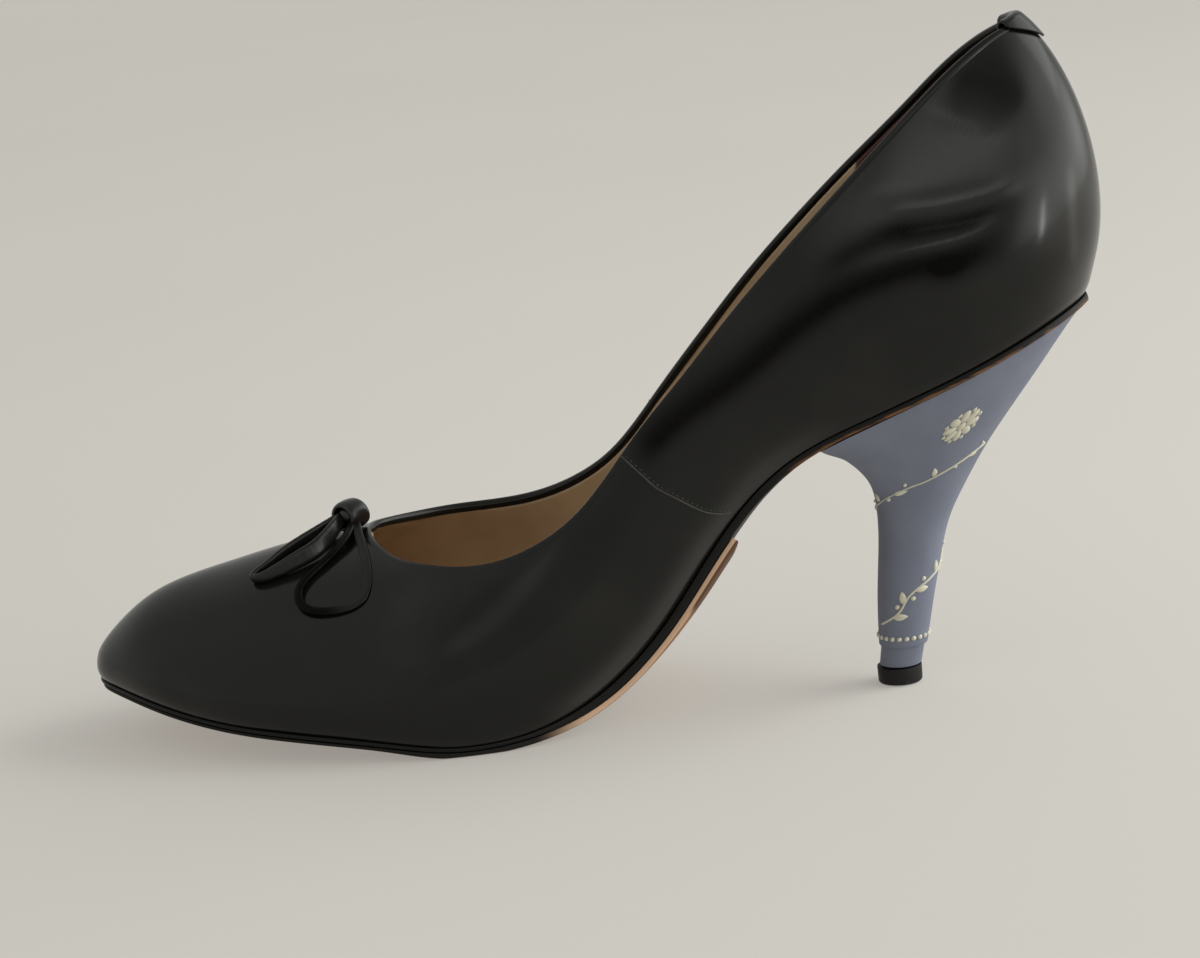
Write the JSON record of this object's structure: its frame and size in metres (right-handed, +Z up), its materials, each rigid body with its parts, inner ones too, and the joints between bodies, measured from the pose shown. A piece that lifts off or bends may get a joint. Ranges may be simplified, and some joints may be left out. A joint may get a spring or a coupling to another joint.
{
  "type": "pump shoe",
  "caption": "Black leather pump shoe with an almond toe, a low-cut throat with a small strap bow, and a slim high heel of pale blue matt stoneware.",
  "frame": {"origin": "on the floor under the middle of the shoe's box", "axes": "+X from the toe to the heel along the shoe, +Y towards its outer side, +Z up"},
  "size_m": [0.2194, 0.0794, 0.1386],
  "materials": {
    "black_calf": "satin",
    "black_edge": "satin",
    "sole_leather": "matte",
    "lining_leather": "matte",
    "blue_stoneware": "matte",
    "white_stoneware": "matte",
    "black_rubber": "matte"
  },
  "bodies": {
    "root": {"upper": "black_calf", "sole": "black_edge", "half_sole": "sole_leather", "insole": "lining_leather", "heel": "blue_stoneware", "top_piece": "black_rubber", "back_tab": "black_calf", "bow_knot": "black_calf", "bow_loop_side": "black_calf", "bow_loop_front": "black_calf"}
  },
  "joints": []
}
